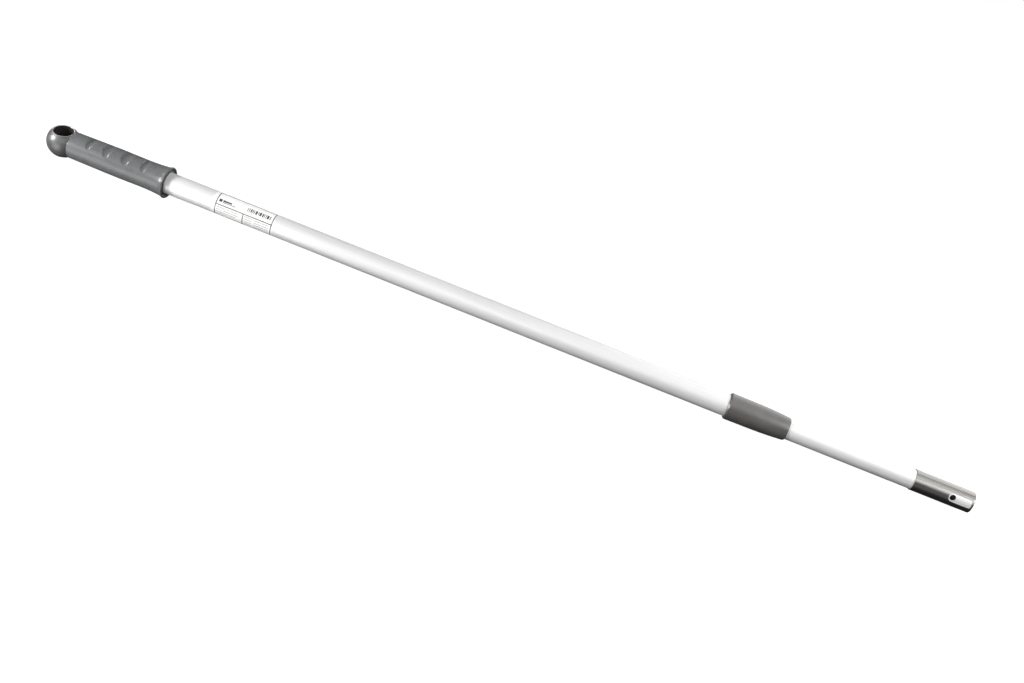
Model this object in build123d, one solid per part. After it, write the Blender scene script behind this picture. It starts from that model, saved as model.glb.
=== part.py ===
from build123d import *
import os
from math import asin, atan2, cos, degrees, pi, radians, sin, sqrt

# Telescopic pole of a drywall sander. The origin is the centre of the hang eye, on the pole axis.
# +X runs along the pole towards the tool end and +Z along the hole of the hang eye. Millimetres.
# A direction round the pole is an angle about +X, measured from +Z towards -Y.

# Tubes
OUTER_R = 12.5  # outer tube, 25 mm outside diameter
OUTER_WALL = 1.0
OUTER_START = 15.2
OUTER_END = 868.0
INNER_R = 11.0  # inner tube, 22 mm outside diameter
INNER_WALL = 1.2
INNER_START = 262.0
INNER_END = 1086.2
BORE_R = OUTER_R - OUTER_WALL
INNER_BORE_R = INNER_R - INNER_WALL
SOCKET_R = 10.0  # the inner tube's front end is reamed to this for a tool's spigot
SOCKET_START = 986.2
SEAT_GAP = 0.03  # between pieces that are pushed together
RUN_GAP = 0.05  # radial clearance where one piece slides or turns on another

# Hang eye
BALL_R = 18.8
EYE_R = 11.25
EYE_RIM = 0.8  # rounding where the hole meets the ball
SPIGOT_END = 50.0
SPIGOT_WALL = 2.6
SPIGOT_CORE_START = 19.0

# Grip
GRIP_START = 12.2
GRIP_END = 133.5
GRIP_OUTLINE = ((13.2, 15.5), (40.0, 15.9), (80.0, 16.2), (112.0, 16.1), (126.0, 17.0), (131.6, 18.3))
GRIP_EDGE = 1.0
FLARE_R = 18.5
FLARE_GROOVE = (13.9, 16.9)  # inner and outer radius of the groove in the front face
FLARE_GROOVE_DEPTH = 2.5
FINGERS = ((36.7, 9.4), (58.8, 12.4), (82.6, 13.0), (105.4, 9.8))  # middle and width of each hollow
FINGER_DEPTH = 2.3
FINGER_ANGLE = 6.0  # direction of the hollows' deepest line round the pole
FINGER_HALF_SPAN = 50.0  # degrees each side of it
FINGER_TILT = 2.5  # degrees about +Z, which takes the -Y end of each hollow forward
FINGER_EDGE = 0.35  # rounding of the hollows' rims

# Screw through the grip and the outer tube into the spigot, on the underside
GRIP_SCREW_X = 28.0
GRIP_SCREW_SINK = 0.2  # how far the head lies below the grip's surface
SCREW_HEAD_R = 2.9
SCREW_HEAD_LENGTH = 1.8
SCREW_SHANK_R = 1.45
SCREW_LENGTH = 9.0

# Label round the outer tube
LABEL_START = 192.3
LABEL_END = 267.3
LABEL_THICKNESS = 0.12
LABEL_FIRST_ANGLE = -31.0
LABEL_SPAN = 165.0

# Collar on the front end of the outer tube, and the guide sleeve inside it
COLLAR_START = 808.4
COLLAR_END = 878.3
COLLAR_OUTLINE = ((810.0, 15.15), (832.0, 14.9), (855.0, 14.4), (866.5, 13.75), (876.9, 12.9))
COLLAR_LIP_R = 13.8
COLLAR_FRONT_R = 12.1
COLLAR_MOUTH_GAP = 0.35
GUIDE_START = 758.0
GUIDE_FLANGE = 1.6

# Cam lock on the rear end of the inner tube
CAM_OFFSET = 1.2
CAM_JOURNAL_R = 6.5
CAM_JOURNAL_START = 235.0
CAM_END = 258.0
CAM_RING_R = 11.1
CAM_RING_SLIT = 1.8
CAM_RING_GAP = 0.4  # end clearance each side of the ring
CAM_WALL_GAP = 0.02  # left between the locked ring and the outer tube's bore
CAM_TENON = 7.0
CAM_TENON_LENGTH = 8.0
STUB_START = 223.0
STUB_R = 4.0
GLIDE_R = BORE_R - RUN_GAP
GLIDE_GAP = 0.3
PLUG_END = 296.0
PLUG_R = INNER_BORE_R - SEAT_GAP
WASHER_R = 6.0
WASHER_THICKNESS = 1.0
LOCK_SCREW_R = 1.95
LOCK_SCREW_HEAD_R = 3.9
LOCK_SCREW_HEAD = 2.6
LOCK_SCREW_END = 278.0
PIN_X = 287.0
PIN_R = 1.5
PIN_BORE_R = 0.9
PIN_SLIT = 0.5

# Steel ferrule at the tool end, with the window of the button hole
FERRULE_START = 1021.7
FERRULE_END = 1087.8
FERRULE_R = 11.8
FERRULE_LIP = 1.5
FERRULE_LIP_R = 10.2
FERRULE_EDGE = 0.6
BUTTON_X = 1064.9
BUTTON_R = 3.25
BUTTON_ANGLE = 64.5
WINDOW_R = 4.9
WINDOW_END = 1085.9
WINDOW_CORNER = 1.5

CAM_LOCK_ANGLE = degrees(2 * asin((BORE_R - CAM_RING_R - CAM_WALL_GAP) / (2 * CAM_OFFSET)))


def rod(start, end, radius):
    """A cylinder on the pole axis."""
    upright = Cylinder(radius, end - start, align=(Align.CENTER, Align.CENTER, Align.MIN))
    return Pos(start, 0, 0) * Rot(0, 90, 0) * upright


def pipe(start, end, radius, bore):
    """A tube on the pole axis."""
    return rod(start, end, radius) - rod(start, end, bore)


def turned(outline):
    """The solid that a closed outline in x and radius sweeps about the pole axis."""
    return revolve(make_face(outline), Axis.X)


def facing(angle, piece):
    """The piece, built along +Z, turned to a direction round the pole."""
    return Rot(angle, 0, 0) * piece


def drill(x, radius, depth_from, depth_to):
    """A round cutter along +Z at x, between two distances from the pole axis."""
    cutter = Cylinder(radius, depth_to - depth_from, align=(Align.CENTER, Align.CENTER, Align.MIN))
    return Pos(x, 0, depth_from) * cutter


def polar(centre, radius, angle):
    """A point on a circle, with the angle in radians."""
    return (centre[0] + radius * cos(angle), centre[1] + radius * sin(angle))


def eye_ring():
    """The pierced ball. Its section is an arc of the ball, a straight bore and two rounded rims."""
    rim_x = EYE_R + EYE_RIM
    rim_z = sqrt((BALL_R - EYE_RIM) ** 2 - rim_x ** 2)
    tangent = atan2(rim_z, rim_x)
    upper = [polar((rim_x, rim_z), EYE_RIM, a) for a in (pi, (pi + tangent) / 2, tangent)]
    lower = [(x, -z) for x, z in reversed(upper)]
    section = Curve() + [
        ThreePointArc(*upper),
        ThreePointArc(upper[-1], (BALL_R, 0), lower[0]),
        ThreePointArc(*lower),
        Line(lower[-1], upper[0]),
    ]
    return revolve(make_face(Plane.XZ * section), Axis.Z)


def hang_eye():
    """The pierced ball with its neck and the hollow spigot that plugs the outer tube."""
    spigot_r = BORE_R - SEAT_GAP
    core_r = spigot_r - SPIGOT_WALL
    neck_start = EYE_R + 0.6
    plug = turned(
        Polyline(
            (neck_start, 0),
            (neck_start, OUTER_R),
            (OUTER_START, OUTER_R),
            (OUTER_START, spigot_r),
            (SPIGOT_END, spigot_r),
            (SPIGOT_END, core_r),
            (SPIGOT_CORE_START, core_r),
            (SPIGOT_CORE_START, 0),
            close=True,
        )
    )
    plug -= facing(180, drill(GRIP_SCREW_X, SCREW_SHANK_R + SEAT_GAP, 6.0, OUTER_R))
    return Rot(0, 0, 180) * eye_ring() + plug


def finger_cutter(x, width):
    """A ring about an axis beside the pole's, which sinks deepest into the grip at FINGER_ANGLE."""
    half_width = width / 2
    grip_r = GRIP_OUTLINE[2][1]
    floor_r = grip_r - FINGER_DEPTH
    cut_r = (half_width ** 2 + FINGER_DEPTH ** 2) / (2 * FINGER_DEPTH)
    end = radians(FINGER_HALF_SPAN)
    drop = (grip_r ** 2 - floor_r ** 2) / (2 * (floor_r - grip_r * cos(end)))
    ring = Rot(0, 90, 0) * Torus(floor_r + drop + cut_r, cut_r)
    return facing(FINGER_ANGLE, Pos(x, 0, -drop) * Rot(0, 0, FINGER_TILT) * ring)


def grip():
    """The hand grip: a slightly barrelled sleeve with finger hollows and a flared front rim."""
    bore = OUTER_R + SEAT_GAP
    seat_r = BALL_R + SEAT_GAP
    seat = [(sqrt(seat_r ** 2 - r ** 2), r) for r in (bore, bore + 0.4)]
    seat.append((GRIP_START, sqrt(seat_r ** 2 - GRIP_START ** 2)))
    first = GRIP_OUTLINE[0]
    last = GRIP_OUTLINE[-1]
    rear_edge = (GRIP_START, first[1] - GRIP_EDGE)
    front_edge = (GRIP_END, FLARE_R - 1.0)
    groove_end = GRIP_END - FLARE_GROOVE_DEPTH
    groove_inner, groove_outer = FLARE_GROOVE
    outline = Curve() + [
        ThreePointArc(*seat),
        Line(seat[-1], rear_edge),
        RadiusArc(rear_edge, first, GRIP_EDGE),
        Spline(*GRIP_OUTLINE, tangents=((1, 0.02), (1, 0.75))),
        ThreePointArc(last, (GRIP_END - 0.5, FLARE_R - 0.1), front_edge),
        Polyline(
            front_edge,
            (GRIP_END, groove_outer),
            (groove_end, groove_outer),
            (groove_end, groove_inner),
            (GRIP_END, groove_inner),
            (GRIP_END, bore),
            seat[0],
        ),
    ]
    sleeve = turned(outline)
    for middle, width in FINGERS:
        sleeve -= finger_cutter(middle, width)
    rims = sleeve.edges().filter_by(GeomType.BSPLINE)
    sleeve = fillet(rims, FINGER_EDGE)
    head_top = screw_head_top()
    sleeve -= facing(180, drill(GRIP_SCREW_X, SCREW_SHANK_R + 0.2, OUTER_R - 1, head_top))
    return sleeve - facing(180, screw_head(0.1) + drill(GRIP_SCREW_X, SCREW_HEAD_R + 0.1, head_top, head_top + 2))


def screw_head_top():
    """How far the flat of the grip screw's head is from the pole axis."""
    return GRIP_OUTLINE[0][1] - GRIP_SCREW_SINK


def screw_head(growth):
    """The countersunk head, its flat facing +Z, larger all round by growth."""
    head = Cone(
        SCREW_SHANK_R + growth,
        SCREW_HEAD_R + growth,
        SCREW_HEAD_LENGTH,
        align=(Align.CENTER, Align.CENTER, Align.MAX),
    )
    return Pos(GRIP_SCREW_X, 0, screw_head_top()) * head


def cross_recess(x, top, size, depth):
    """Two crossed slots, cut down from top."""
    slots = Box(size, size / 4, 2 * depth) + Box(size / 4, size, 2 * depth)
    return Pos(x, 0, top) * slots


def grip_screw():
    """The countersunk self-tapping screw that holds grip, tube and hang eye together."""
    top = screw_head_top()
    screw = screw_head(0) + drill(GRIP_SCREW_X, SCREW_SHANK_R, top - SCREW_LENGTH + 1.2, top - 1)
    point = Cone(0.3, SCREW_SHANK_R, 1.2, align=(Align.CENTER, Align.CENTER, Align.MIN))
    screw += Pos(GRIP_SCREW_X, 0, top - SCREW_LENGTH) * point
    return facing(180, screw - cross_recess(GRIP_SCREW_X, top, 3.2, 0.9))


def outer_tube():
    """The thick tube, which carries the grip, the label and the collar."""
    tube = pipe(OUTER_START, OUTER_END, OUTER_R, BORE_R)
    return tube - facing(180, drill(GRIP_SCREW_X, SCREW_SHANK_R + 0.2, BORE_R - 1, OUTER_R + 1))


def label():
    """The film label wrapped part of the way round the outer tube."""
    length = LABEL_END - LABEL_START
    strip = Pos(LABEL_START, OUTER_R) * Rectangle(length, LABEL_THICKNESS, align=(Align.MIN, Align.MIN))
    return facing(LABEL_FIRST_ANGLE + 90, revolve(strip, Axis.X, LABEL_SPAN))


def collar():
    """The moulded sleeve over the outer tube's front end. It tapers to a rounded mouth."""
    seat = OUTER_R + SEAT_GAP
    mouth = INNER_R + COLLAR_MOUTH_GAP
    seat_end = OUTER_END + GUIDE_FLANGE + SEAT_GAP
    first = COLLAR_OUTLINE[0]
    last = COLLAR_OUTLINE[-1]
    front = (COLLAR_END, COLLAR_FRONT_R)
    outline = Curve() + [
        Line((COLLAR_START, seat), (COLLAR_START, COLLAR_LIP_R)),
        Line((COLLAR_START, COLLAR_LIP_R), first),
        Spline(*COLLAR_OUTLINE),
        ThreePointArc(last, (COLLAR_END - 0.55, COLLAR_FRONT_R + 0.5), front),
        Polyline(front, (COLLAR_END, mouth), (seat_end, mouth), (seat_end, seat), (COLLAR_START, seat)),
    ]
    return turned(outline)


def guide_sleeve():
    """The thin sleeve that the inner tube slides in. Its flange sits between tube end and collar."""
    tube = pipe(GUIDE_START, OUTER_END, BORE_R - SEAT_GAP, INNER_R + RUN_GAP)
    return tube + pipe(OUTER_END, OUTER_END + GUIDE_FLANGE, OUTER_R, INNER_R + RUN_GAP)


def inner_tube():
    """The thin tube. Its front end is the socket for a tool's spigot and push button."""
    tube = pipe(INNER_START, INNER_END, INNER_R, INNER_BORE_R) - rod(SOCKET_START, INNER_END, SOCKET_R)
    tube -= facing(BUTTON_ANGLE, drill(BUTTON_X, BUTTON_R, SOCKET_R - 3, INNER_R + 1))
    return tube - drill(PIN_X, PIN_R + SEAT_GAP, -INNER_R - 1, INNER_R + 1)


def insert_plug():
    """The plug pinned into the inner tube's rear end, with the square socket of the cam core."""
    plug = rod(INNER_START, PLUG_END, PLUG_R) + rod(CAM_END, INNER_START, INNER_R)
    socket = CAM_TENON + 2 * SEAT_GAP
    tenon_room = Box(CAM_TENON_LENGTH, socket, socket, align=(Align.MIN, Align.CENTER, Align.CENTER))
    plug -= Pos(CAM_END, 0, 0) * tenon_room
    plug -= rod(CAM_END, LOCK_SCREW_END + 1, LOCK_SCREW_R + SEAT_GAP)
    plug -= pipe(PLUG_END - 5, PLUG_END, PLUG_R - 2, PLUG_R - 5)
    return plug - drill(PIN_X, PIN_R + SEAT_GAP, -INNER_R, INNER_R)


def cross_pin():
    """The slit spring pin through the inner tube and the plug."""
    half_length = INNER_R - 0.1
    pin = drill(PIN_X, PIN_R, -half_length, half_length)
    pin -= drill(PIN_X, PIN_BORE_R, -half_length, half_length)
    return pin - Pos(PIN_X + PIN_R, 0, 0) * Box(2 * PIN_R, PIN_SLIT, 2 * half_length + 1)


def cam_core():
    """The core: a centred stub for the glide disc, the eccentric journal and a square tenon."""
    core = rod(STUB_START, CAM_JOURNAL_START, STUB_R)
    core += Pos(0, 0, CAM_OFFSET) * rod(CAM_JOURNAL_START, CAM_END, CAM_JOURNAL_R)
    tenon = Box(CAM_TENON_LENGTH - 0.2, CAM_TENON, CAM_TENON, align=(Align.MIN, Align.CENTER, Align.CENTER))
    core += Pos(CAM_END, 0, 0) * tenon
    return core - rod(STUB_START, CAM_END + CAM_TENON_LENGTH, LOCK_SCREW_R + SEAT_GAP)


def cam_ring():
    """The split ring on the journal, turned to where it wedges against the outer tube."""
    start = CAM_JOURNAL_START + CAM_RING_GAP
    end = CAM_END - CAM_RING_GAP
    journal = Pos(0, 0, CAM_OFFSET)
    ring = rod(start, end, CAM_RING_R) - journal * rod(start, end, CAM_JOURNAL_R + RUN_GAP)
    slit = Box(end - start, CAM_RING_SLIT, CAM_RING_R + 1, align=(Align.MIN, Align.CENTER, Align.MIN))
    ring -= Pos(start, 0, CAM_OFFSET) * slit
    return journal * Rot(CAM_LOCK_ANGLE, 0, 0) * journal.inverse() * ring


def glide_disc():
    """The disc that turns on the stub and keeps the rear of the inner tube centred."""
    start = STUB_START + GLIDE_GAP
    end = CAM_JOURNAL_START - GLIDE_GAP
    disc = pipe(start, end, GLIDE_R, STUB_R + RUN_GAP)
    rounded = [disc.edges().filter_by(GeomType.CIRCLE).sort_by(lambda edge: edge.radius)[i] for i in (-1, -2)]
    return fillet(rounded, 1.0)


def lock_washer():
    """The washer that keeps the glide disc on its stub."""
    return pipe(STUB_START - WASHER_THICKNESS, STUB_START, WASHER_R, LOCK_SCREW_R + 0.1)


def lock_screw():
    """The long screw from the rear through washer and cam core into the plug."""
    seat = STUB_START - WASHER_THICKNESS
    head = rod(seat - LOCK_SCREW_HEAD, seat, LOCK_SCREW_HEAD_R)
    rim = head.edges().filter_by(GeomType.CIRCLE).sort_by(Axis.X)[0]
    screw = fillet(rim, 1.2) + rod(seat, LOCK_SCREW_END, LOCK_SCREW_R)
    slots = cross_recess(0, 0, 4.4, 1.4)
    return screw - Pos(seat - LOCK_SCREW_HEAD, 0, 0) * Rot(0, 90, 0) * slots


def window_cutter():
    """A prism along +Z: round about the button hole, and straight from there to the front lip."""
    plan = Pos(BUTTON_X, 0) * Circle(WINDOW_R)
    run = WINDOW_END - BUTTON_X
    straight = Pos(BUTTON_X, 0) * Rectangle(run, 2 * WINDOW_R, align=(Align.MIN, Align.CENTER))
    corners = straight.vertices().sort_by(Axis.X)[-2:]
    plan += fillet(corners, WINDOW_CORNER)
    return Pos(0, 0, INNER_R - 6) * extrude(plan, 8)


def ferrule():
    """The steel sleeve on the tool end, with a rolled lip and the button's window."""
    sleeve = pipe(FERRULE_START, FERRULE_END, FERRULE_R, INNER_R + SEAT_GAP)
    sleeve += pipe(FERRULE_END - FERRULE_LIP, FERRULE_END, FERRULE_R, FERRULE_LIP_R)
    ends = sleeve.edges().filter_by(GeomType.CIRCLE).filter_by(lambda edge: edge.radius > FERRULE_R - 0.01)
    sleeve = fillet(ends.sort_by(Axis.X)[-1], FERRULE_EDGE)
    return sleeve - facing(BUTTON_ANGLE, window_cutter())


SUB_PARTS = {
    "hang_eye": hang_eye,
    "grip": grip,
    "grip_screw": grip_screw,
    "outer_tube": outer_tube,
    "label": label,
    "collar": collar,
    "guide_sleeve": guide_sleeve,
    "glide_disc": glide_disc,
    "cam_ring": cam_ring,
    "cam_core": cam_core,
    "lock_washer": lock_washer,
    "lock_screw": lock_screw,
    "insert_plug": insert_plug,
    "cross_pin": cross_pin,
    "inner_tube": inner_tube,
    "ferrule": ferrule,
}

os.makedirs("parts", exist_ok=True)
for name, build in SUB_PARTS.items():
    export_step(build(), f"parts/{name}.step")
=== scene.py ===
from math import cos, degrees, pi, radians, sin
from random import Random

import bpy
from mathutils import Matrix, Vector


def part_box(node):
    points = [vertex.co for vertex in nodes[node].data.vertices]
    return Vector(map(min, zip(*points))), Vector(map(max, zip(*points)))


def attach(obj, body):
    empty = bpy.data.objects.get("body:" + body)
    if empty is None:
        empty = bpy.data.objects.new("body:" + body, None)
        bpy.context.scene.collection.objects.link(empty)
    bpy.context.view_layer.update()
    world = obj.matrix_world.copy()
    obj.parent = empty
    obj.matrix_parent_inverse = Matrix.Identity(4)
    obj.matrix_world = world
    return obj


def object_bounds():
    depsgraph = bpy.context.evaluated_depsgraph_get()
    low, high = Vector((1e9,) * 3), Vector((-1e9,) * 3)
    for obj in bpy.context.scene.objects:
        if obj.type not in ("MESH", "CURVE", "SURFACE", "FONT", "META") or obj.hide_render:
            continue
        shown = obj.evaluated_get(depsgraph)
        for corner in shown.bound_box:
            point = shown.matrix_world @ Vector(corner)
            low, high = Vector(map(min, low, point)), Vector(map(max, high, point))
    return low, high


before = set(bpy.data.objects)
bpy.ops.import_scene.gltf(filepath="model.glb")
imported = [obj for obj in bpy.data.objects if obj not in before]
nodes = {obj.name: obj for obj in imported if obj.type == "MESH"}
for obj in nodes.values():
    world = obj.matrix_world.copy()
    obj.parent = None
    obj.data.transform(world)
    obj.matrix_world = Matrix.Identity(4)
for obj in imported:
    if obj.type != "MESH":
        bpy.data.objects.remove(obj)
cad_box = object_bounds()

MM = 0.001


# ---------------------------------------------------------------- camera

LENS = 38.67  # mm
CAMERA_DISTANCE = 1.193  # metres from the point in the middle of the view
CAMERA_AZIMUTH = radians(5.25)  # from +Y towards -X
CAMERA_ELEVATION = radians(38.86)
CAMERA_ROLL = radians(18.5)
CAMERA_SIDE = -0.0357  # metres along Y from the pole axis to the middle of the view
CAMERA_REACH = 0.5282  # how far along the whole object the view is centred


def add_camera():
    low, high = cad_box
    target = Vector((low[0] + CAMERA_REACH * (high[0] - low[0]), CAMERA_SIDE, 0))
    level = cos(CAMERA_ELEVATION)
    forward = Vector((-sin(CAMERA_AZIMUTH) * level, cos(CAMERA_AZIMUTH) * level, -sin(CAMERA_ELEVATION)))
    data = bpy.data.cameras.new("camera")
    data.lens = LENS
    data.clip_start = 0.01
    data.clip_end = 100
    camera = bpy.data.objects.new("camera", data)
    camera.rotation_mode = "QUATERNION"
    turn = forward.to_track_quat("-Z", "Y")
    camera.rotation_quaternion = turn @ Matrix.Rotation(CAMERA_ROLL, 3, "Z").to_quaternion()
    camera.location = target - CAMERA_DISTANCE * forward
    bpy.context.scene.collection.objects.link(camera)
    bpy.context.scene.camera = camera


# ---------------------------------------------------------------- studio

FLOOR_X = 0.5  # the floor's centre, near the middle of the pole
FLOOR_GAP = 0.5 * MM  # below the lowest point of the pole
FLOOR_R = 5.0
COVE_R = 1.5
COVE_STEPS = 12
WALL_HEIGHT = 6.0
RING_STEPS = 96
FLOOR_GREY = (0.3, 0.3, 0.3, 1)
FLOOR_GLOW = 0.93  # its own light, which keeps it pale where the lights don't reach

# Brightness of the surroundings by the height of the direction: 0 is straight down and 1 straight up.
SKY = ((0.0, 0.03), (0.4, 0.04), (0.5, 0.07), (0.6, 0.12), (0.75, 0.14), (1.0, 0.14))


def add_floor():
    """A plain pale floor that curves up into a round wall.

    Only the camera sees it, so it throws no light back on the pole.
    """
    profile = []
    for step in range(COVE_STEPS + 1):
        turn = radians(90 * step / COVE_STEPS)
        profile.append((FLOOR_R + COVE_R * sin(turn), COVE_R * (1 - cos(turn))))
    profile.append((FLOOR_R + COVE_R, WALL_HEIGHT))
    vertices = [(0, 0, 0)]
    for radius, height in profile:
        for step in range(RING_STEPS):
            turn = 2 * pi * step / RING_STEPS
            vertices.append((radius * cos(turn), radius * sin(turn), height))
    faces = []
    for step in range(RING_STEPS):
        here = 1 + step
        beside = 1 + (step + 1) % RING_STEPS
        faces.append((0, here, beside))
        for ring in range(len(profile) - 1):
            inner = ring * RING_STEPS
            outer = inner + RING_STEPS
            faces.append((here + inner, here + outer, beside + outer, beside + inner))
    data = bpy.data.meshes.new("floor")
    data.from_pydata(vertices, [], faces)
    floor = bpy.data.objects.new("floor", data)
    floor.location = (FLOOR_X, 0, cad_box[0][2] - FLOOR_GAP)
    bpy.context.scene.collection.objects.link(floor)
    material = bpy.data.materials.new("floor")
    material.use_nodes = True
    shader = material.node_tree.nodes["Principled BSDF"]
    shader.inputs["Base Color"].default_value = FLOOR_GREY
    shader.inputs["Roughness"].default_value = 0.9
    shader.inputs["Specular IOR Level"].default_value = 0.0
    shader.inputs["Emission Color"].default_value = (1, 1, 1, 1)
    shader.inputs["Emission Strength"].default_value = FLOOR_GLOW
    data.materials.append(material)
    floor.visible_glossy = False
    floor.visible_diffuse = False
    floor.visible_shadow = False


def add_world():
    """Dim surroundings that are darker below the pole than above it."""
    world = bpy.data.worlds.new("studio")
    bpy.context.scene.world = world
    world.use_nodes = True
    tree = world.node_tree
    background = tree.nodes["Background"]
    coords = tree.nodes.new("ShaderNodeTexCoord")
    split = tree.nodes.new("ShaderNodeSeparateXYZ")
    tree.links.new(coords.outputs["Generated"], split.inputs[0])
    ramp = tree.nodes.new("ShaderNodeValToRGB")
    remap = tree.nodes.new("ShaderNodeMapRange")
    remap.inputs["From Min"].default_value = -1
    tree.links.new(split.outputs["Z"], remap.inputs["Value"])
    tree.links.new(remap.outputs["Result"], ramp.inputs["Fac"])
    elements = ramp.color_ramp.elements
    while len(elements) > 1:
        elements.remove(elements[-1])
    for number, (place, value) in enumerate(SKY):
        element = elements[0] if number == 0 else elements.new(place)
        element.position = place
        element.color = (value, value, value, 1)
    tree.links.new(ramp.outputs["Color"], background.inputs["Color"])
    background.inputs["Strength"].default_value = 1.0


def add_light(name, size, place, target, power):
    """A white rectangular light at place, turned to target. Lengths are in metres, power in watts."""
    data = bpy.data.lights.new(name, "AREA")
    data.shape = "RECTANGLE"
    data.size, data.size_y = size
    data.energy = power
    light = bpy.data.objects.new(name, data)
    light.location = place
    light.rotation_euler = (Vector(target) - Vector(place)).to_track_quat("-Z", "Y").to_euler()
    bpy.context.scene.collection.objects.link(light)


def add_lights():
    """Lights beyond both ends, fills in front, one above the tool end and two behind.

    Some reach below the floor, which stops no light.
    """
    add_light("key", (0.35, 0.35), (-0.9, -0.65, 0.45), (0.13, 0, 0), 21.0)
    add_light("left_top", (0.15, 0.15), (-0.78, 0.13, 0.52), (0.08, 0, 0), 2.0)
    add_light("front_low", (0.6, 0.5), (-0.15, -0.75, -0.2), (0.1, 0, 0), 2.5)
    add_light("front_middle", (0.8, 0.5), (0.4, -1.0, 0.75), (0.4, 0, 0), 2.5)
    add_light("front_right", (0.6, 0.6), (1.35, -0.55, 0.8), (1.05, 0, 0), 1.7)
    add_light("top_right", (0.9, 0.8), (1.0, 0.05, 0.9), (0.95, 0, 0), 2.2)
    add_light("tool_end", (0.5, 0.5), (2.0, -0.4, 1.0), (0.95, 0, 0), 12.5)
    add_light("tip_low", (0.4, 0.7), (1.1, -1.2, -0.15), (1.05, 0, 0), 0.3)
    add_light("back_left", (0.8, 0.3), (0.0, 1.3, -0.15), (0.0, 0, 0), 0.7)
    add_light("back_right", (1.6, 1.9), (1.4, 1.2, 0.5), (0.95, 0, 0.1), 14.5)


def add_studio():
    add_world()
    add_floor()
    add_lights()
    bpy.context.scene.view_settings.view_transform = "Standard"
    bpy.context.scene.view_settings.look = "None"


# ---------------------------------------------------------------- materials

# Numbers of the Mix node's colour sockets, whose names other sockets of the node share.
MIX_COLOURS = (6, 7)
MIX_RESULT = 2

GRAIN_DEPTH = 0.02 * MM
GRAIN_STRENGTH = 0.3


class Look:
    """A Principled material with procedural colour and roughness, and grain where the surface has one."""

    def __init__(self, name, **values):
        self.material = bpy.data.materials.new(name)
        self.material.use_nodes = True
        self.tree = self.material.node_tree
        self.shader = self.tree.nodes["Principled BSDF"]
        self.coords = self.node("ShaderNodeTexCoord").outputs["Object"]
        for key, value in values.items():
            self.shader.inputs[key.replace("_", " ")].default_value = value

    def node(self, kind, **settings):
        made = self.tree.nodes.new(kind)
        for key, value in settings.items():
            setattr(made, key, value)
        return made

    def link(self, source, target):
        self.tree.links.new(source, target)

    def noise(self, size, detail, rough, offset=0.0, stretch=(1, 1, 1)):
        """Noise whose features are about size metres across, drawn out by stretch along each axis."""
        mapping = self.node("ShaderNodeMapping")
        mapping.inputs["Scale"].default_value = [1 / (size * s) for s in stretch]
        mapping.inputs["Location"].default_value = (offset, offset, offset)
        self.link(self.coords, mapping.inputs["Vector"])
        texture = self.node("ShaderNodeTexNoise")
        texture.inputs["Scale"].default_value = 1
        texture.inputs["Detail"].default_value = detail
        texture.inputs["Roughness"].default_value = rough
        self.link(mapping.outputs["Vector"], texture.inputs["Vector"])
        return texture.outputs["Fac"]

    def spread(self, value, low, high, start=0.3, end=0.7):
        """Maps a value from start..end to low..high, and goes no further."""
        remap = self.node("ShaderNodeMapRange")
        remap.inputs["From Min"].default_value = start
        remap.inputs["From Max"].default_value = end
        remap.inputs["To Min"].default_value = low
        remap.inputs["To Max"].default_value = high
        self.link(value, remap.inputs["Value"])
        return remap.outputs["Result"]

    def add(self, first, second):
        made = self.node("ShaderNodeMath", operation="ADD")
        self.link(first, made.inputs[0])
        self.link(second, made.inputs[1])
        return made.outputs[0]

    def mix(self, factor, first, second):
        """Blends two colours, each a tuple or a socket."""
        made = self.node("ShaderNodeMix", data_type="RGBA")
        self.link(factor, made.inputs["Factor"])
        for place, value in zip(MIX_COLOURS, (first, second)):
            if isinstance(value, tuple):
                made.inputs[place].default_value = (*value, 1)
            else:
                self.link(value, made.inputs[place])
        return made.outputs[MIX_RESULT]

    def reach(self, x, y, z):
        """The distance from the origin, counting only the axes given as 1."""
        masked = self.node("ShaderNodeVectorMath", operation="MULTIPLY")
        self.link(self.coords, masked.inputs[0])
        masked.inputs[1].default_value = (x, y, z)
        length = self.node("ShaderNodeVectorMath", operation="LENGTH")
        self.link(masked.outputs[0], length.inputs[0])
        return length.outputs["Value"]

    def colour(self, socket):
        self.link(socket, self.shader.inputs["Base Color"])

    def roughness(self, socket):
        self.link(socket, self.shader.inputs["Roughness"])

    def grain(self, height):
        made = self.node("ShaderNodeBump")
        made.inputs["Distance"].default_value = GRAIN_DEPTH
        made.inputs["Strength"].default_value = GRAIN_STRENGTH
        self.link(height, made.inputs["Height"])
        self.link(made.outputs["Normal"], self.shader.inputs["Normal"])


ALONG = (150, 1, 1)  # noise this much longer along the pole than round it

# Painted shade inside a hole reaches this far from its axis: to the hole's wall or just past it.
EYE_HOLE_R = 11.28 * MM
OUTER_BORE_R = 11.6 * MM
INNER_BORE_R = 10.0 * MM
BORE_PAINTED_SHADE = (0.01, 0.01, 0.01)


def satin_aluminium(name, bore):
    """Anodised extrusion: faint die lines along the tube, a slow cloudiness, and painted shade that colours
    the bore near black.
    """
    look = Look(name, Metallic=0.25)
    lines = look.noise(0.9 * MM, 3, 0.6, stretch=ALONG)
    fine = look.noise(0.25 * MM, 2, 0.6, offset=3, stretch=ALONG)
    clouds = look.noise(30 * MM, 3, 0.5, offset=7, stretch=(3, 1, 1))
    shade = look.mix(look.spread(lines, 0, 1), (0.84, 0.84, 0.84), (0.91, 0.91, 0.905))
    # painted shade: the inside of the bore is coloured near black
    painted_hole_shade = look.spread(look.reach(0, 1, 1), 1, 0, bore, bore + 0.3 * MM)
    look.colour(look.mix(painted_hole_shade, shade, BORE_PAINTED_SHADE))
    base = look.spread(clouds, 0.4, 0.48)
    look.roughness(look.add(base, look.spread(lines, -0.03, 0.03)))
    look.grain(fine)
    return look.material


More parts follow.
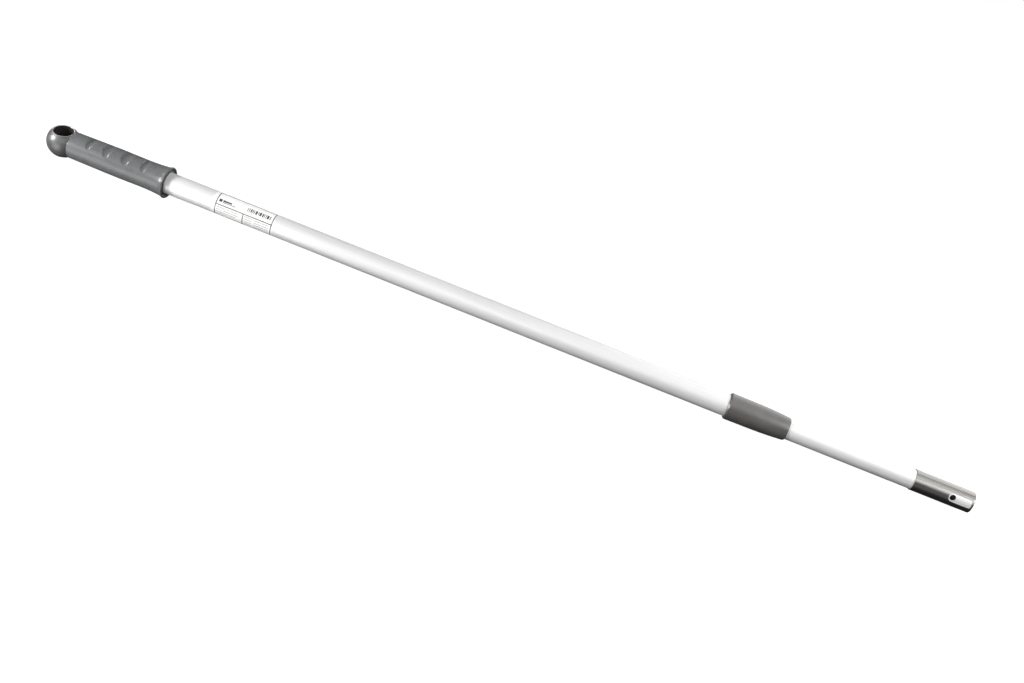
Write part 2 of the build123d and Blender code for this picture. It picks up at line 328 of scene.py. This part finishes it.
def grip_plastic():
    look = Look("grip_plastic")
    clouds = look.noise(12 * MM, 3, 0.5)
    grain = look.noise(0.5 * MM, 2, 0.6, offset=2)
    look.colour(look.mix(look.spread(clouds, 0, 1), (0.134, 0.138, 0.141), (0.153, 0.155, 0.156)))
    look.roughness(look.spread(clouds, 0.26, 0.3))
    look.grain(grain)
    return look.material


def eye_plastic():
    """A darker plastic than the grip's. Painted shade colours the hole dark inside, and a painted highlight
    makes a pale ring round its rim.
    """
    look = Look("eye_plastic", Specular_IOR_Level=1.0)
    clouds = look.noise(10 * MM, 3, 0.5)
    outside = look.mix(look.spread(clouds, 0, 1), (0.085, 0.087, 0.087), (0.115, 0.117, 0.116))
    from_axis = look.reach(1, 1, 0)
    # painted highlight: a pale ring just round the hole's rim
    painted_rim_highlight = look.spread(from_axis, 1, 0, EYE_HOLE_R + 0.6 * MM, EYE_HOLE_R + 1.2 * MM)
    # painted shade: the hole's inside is coloured near black
    painted_hole_shade = look.spread(from_axis, 1, 0, EYE_HOLE_R, EYE_HOLE_R + 0.1 * MM)
    rim = look.mix(painted_rim_highlight, outside, (0.6, 0.6, 0.59))
    look.colour(look.mix(painted_hole_shade, rim, (0.03, 0.026, 0.023)))
    look.roughness(look.spread(clouds, 0.34, 0.42))
    return look.material


def collar_plastic():
    look = Look("collar_plastic", Specular_IOR_Level=1.0, Coat_Weight=0.7, Coat_Roughness=0.4)
    clouds = look.noise(12 * MM, 3, 0.5)
    grain = look.noise(0.4 * MM, 2, 0.6, offset=5)
    look.colour(look.mix(look.spread(clouds, 0, 1), (0.08, 0.077, 0.073), (0.102, 0.099, 0.095)))
    look.roughness(look.spread(clouds, 0.36, 0.44))
    look.grain(grain)
    return look.material


def polished_steel():
    look = Look("polished_steel", Metallic=1.0)
    lines = look.noise(1.2 * MM, 3, 0.6, stretch=ALONG)
    bands = look.noise(4 * MM, 2, 0.5, offset=4, stretch=ALONG)
    streaks = look.add(look.spread(lines, 0, 0.6), look.spread(bands, 0, 0.4))
    look.colour(look.mix(streaks, (0.17, 0.163, 0.154), (0.6, 0.59, 0.57)))
    look.roughness(look.spread(lines, 0.24, 0.36))
    return look.material


def zinc_steel():
    look = Look("zinc_steel", Metallic=1.0)
    clouds = look.noise(1 * MM, 3, 0.6)
    look.colour(look.mix(look.spread(clouds, 0, 1), (0.5, 0.5, 0.52), (0.66, 0.66, 0.66)))
    look.roughness(look.spread(clouds, 0.3, 0.45))
    return look.material


def natural_nylon():
    look = Look("natural_nylon")
    clouds = look.noise(4 * MM, 3, 0.5)
    look.colour(look.mix(look.spread(clouds, 0, 1), (0.74, 0.72, 0.65), (0.82, 0.81, 0.76)))
    look.roughness(look.spread(clouds, 0.4, 0.55))
    return look.material


def black_acetal():
    look = Look("black_acetal")
    clouds = look.noise(4 * MM, 3, 0.5)
    look.colour(look.mix(look.spread(clouds, 0, 1), (0.02, 0.02, 0.02), (0.035, 0.035, 0.036)))
    look.roughness(look.spread(clouds, 0.28, 0.4))
    return look.material


def label_film():
    look = Look("label_film")
    clouds = look.noise(6 * MM, 3, 0.5)
    look.colour(look.mix(look.spread(clouds, 0, 1), (0.93, 0.93, 0.915), (0.97, 0.97, 0.955)))
    look.roughness(look.spread(clouds, 0.35, 0.45))
    return look.material


def label_ink(name, dark, pale):
    look = Look(name)
    grain = look.noise(0.4 * MM, 2, 0.6)
    look.colour(look.mix(look.spread(grain, 0, 1), dark, pale))
    look.roughness(look.spread(grain, 0.4, 0.55))
    return look.material


# ---------------------------------------------------------------- label print

PRINT_HEIGHT = 0.02 * MM  # how far the ink stands above the film
PRINT_DEPTH = 0.03 * MM  # how far it reaches into the film
PRINT_STEP = radians(4)  # about the arc of each facet
LABEL_FIRST_ANGLE = -31.0  # degrees about +X, from +Z towards -Y
SEED = 4
REAR_MARGIN = 4.5 * MM
FRONT_MARGIN = 1.1 * MM
LINE = 1.0 * MM
HAIRLINE = 0.9 * MM

# Angles on the label are in degrees from the film's first edge, round the tube.
FRAME_TOP = 11.5
DIVIDER = 87.0
FRAME_BOTTOM = 154.0
COLUMN = 0.49  # where the lower half is split, along the frame

# The mark is a square and two bars: first and last mm along the frame, angle, and height in mm.
MARK = ((3.0, 6.4, 58, 3.4), (7.6, 18.0, 60, 1.8), (7.6, 23.0, 71, 0.8))

CODE_ANGLE = 48
CODE_HEIGHT = 4.6 * MM
CODE_REAR_MARGIN = 3 * MM
CODE_FRONT_MARGIN = 4 * MM
BAR_WIDTHS = (0.8, 1.4, 2.2)  # mm
BAR_GAPS = (0.8, 1.2)  # mm

LEFT_ROWS = ((100, 0.85, 2), (113, 0.9, 3), (126, 0.8, 2), (139, 0.4, 1))  # angle, share of the width, words
LEFT_MARGIN = 2 * MM
RIGHT_ROWS = (97, 110, 123, 136)  # angle of each row's first word; the others stand a little lower
RIGHT_ROW_DROP = 2
FIRST_WORD = (2.5 * MM, 12 * MM)  # from the column
OTHER_WORDS_START = 14 * MM
OTHER_WORDS_MARGIN = 3 * MM
WORD_GAP = 0.7 * MM
WORD_SHARES = (0.6, 1.6)


class Print:
    """Ink on the label: blocks given by their place along the tube and their angle round it."""

    def __init__(self):
        low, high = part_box("label")
        self.start = low[0] + REAR_MARGIN
        self.end = high[0] - FRONT_MARGIN
        self.radius = -low[1]
        self.vertices = []
        self.faces = []

    def point(self, x, angle, radius):
        turn = radians(LABEL_FIRST_ANGLE) + angle
        return (x, -radius * sin(turn), radius * cos(turn))

    def block(self, x0, x1, a0, a1):
        """A closed block of ink from x0 to x1 and, in degrees, from a0 to a1."""
        a0, a1 = radians(a0), radians(a1)
        steps = max(1, round((a1 - a0) / PRINT_STEP))
        first = len(self.vertices)
        for step in range(steps + 1):
            angle = a0 + step / steps * (a1 - a0)
            for radius in (self.radius - PRINT_DEPTH, self.radius + PRINT_HEIGHT):
                self.vertices.append(self.point(x0, angle, radius))
                self.vertices.append(self.point(x1, angle, radius))
        for step in range(steps):
            a = first + 4 * step
            b = a + 4
            self.faces += [(a + 2, a + 3, b + 3, b + 2), (a, b, b + 1, a + 1)]
            self.faces += [(a, a + 2, b + 2, b), (a + 1, b + 1, b + 3, a + 3)]
        self.faces += [(first, first + 1, first + 3, first + 2)]
        last = first + 4 * steps
        self.faces += [(last, last + 2, last + 3, last + 1)]

    def arc(self, length):
        """The angle in degrees that a length covers on the film."""
        return degrees(length / self.radius)

    def place(self, name, material):
        """Makes the ink a piece that rides with the tube."""
        mesh = bpy.data.meshes.new(name)
        mesh.from_pydata(self.vertices, [], self.faces)
        mesh.materials.append(material)
        piece = bpy.data.objects.new(name, mesh)
        bpy.context.scene.collection.objects.link(piece)
        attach(piece, "outer_section")

    def row(self, x0, x1, angle, random, words):
        """A row of greeked words: thin dashes of uneven length that fill x0 to x1."""
        shares = [random.uniform(*WORD_SHARES) for _ in range(words)]
        scale = (x1 - x0 - WORD_GAP * (words - 1)) / sum(shares)
        x = x0
        for share in shares:
            self.block(x, x + share * scale, angle, angle + self.arc(HAIRLINE))
            x += share * scale + WORD_GAP

    def bars(self, x0, x1, angle, height, random):
        """A run of upright bars of uneven width and spacing, which stands for a code."""
        x = x0
        while x < x1:
            width = random.choice(BAR_WIDTHS) * MM
            self.block(x, min(x + width, x1), angle, angle + self.arc(height))
            x += width + random.choice(BAR_GAPS) * MM


def add_label_print():
    """A frame split in three, with a small mark, a code and rows of small print, none of it readable."""
    random = Random(SEED)
    ink = Print()
    start, end = ink.start, ink.end
    thick = ink.arc(LINE)
    column = start + COLUMN * (end - start)
    for angle in (FRAME_TOP, DIVIDER, FRAME_BOTTOM):
        ink.block(start, end, angle, angle + thick)
    for x in (start, end - LINE):
        ink.block(x, x + LINE, FRAME_TOP, FRAME_BOTTOM + thick)
    ink.block(column, column + LINE, DIVIDER, FRAME_BOTTOM)
    for first, last, angle, height in MARK:
        ink.block(start + first * MM, start + last * MM, angle, angle + ink.arc(height * MM))
    ink.bars(column + CODE_REAR_MARGIN, end - CODE_FRONT_MARGIN, CODE_ANGLE, CODE_HEIGHT, random)
    ink.place("label_print", label_ink("label_ink", (0.03, 0.03, 0.03), (0.06, 0.06, 0.06)))

    rows = Print()
    left = start + LEFT_MARGIN
    width = column - start - 2 * LEFT_MARGIN
    for angle, share, words in LEFT_ROWS:
        rows.row(left, left + share * width, angle, random, words)
    for angle in RIGHT_ROWS:
        rows.row(column + FIRST_WORD[0], column + FIRST_WORD[1], angle, random, 1)
        rows.row(column + OTHER_WORDS_START, end - OTHER_WORDS_MARGIN, angle + RIGHT_ROW_DROP, random, 2)
    rows.place("label_small_print", label_ink("label_grey_ink", (0.42, 0.41, 0.41), (0.5, 0.49, 0.49)))


def paint(material, *names):
    for name in names:
        mesh = nodes[name].data
        mesh.materials.clear()
        mesh.materials.append(material)


def dress_nodes():
    paint(satin_aluminium("outer_aluminium", OUTER_BORE_R), "outer_tube")
    paint(satin_aluminium("inner_aluminium", INNER_BORE_R), "inner_tube")
    paint(grip_plastic(), "grip")
    paint(eye_plastic(), "hang_eye")
    paint(collar_plastic(), "collar")
    paint(polished_steel(), "ferrule")
    paint(label_film(), "label")
    paint(natural_nylon(), "guide_sleeve", "glide_disc", "cam_ring")
    paint(black_acetal(), "cam_core", "insert_plug")
    paint(zinc_steel(), "grip_screw", "lock_washer", "lock_screw", "cross_pin")


add_camera()
add_studio()
dress_nodes()
add_label_print()
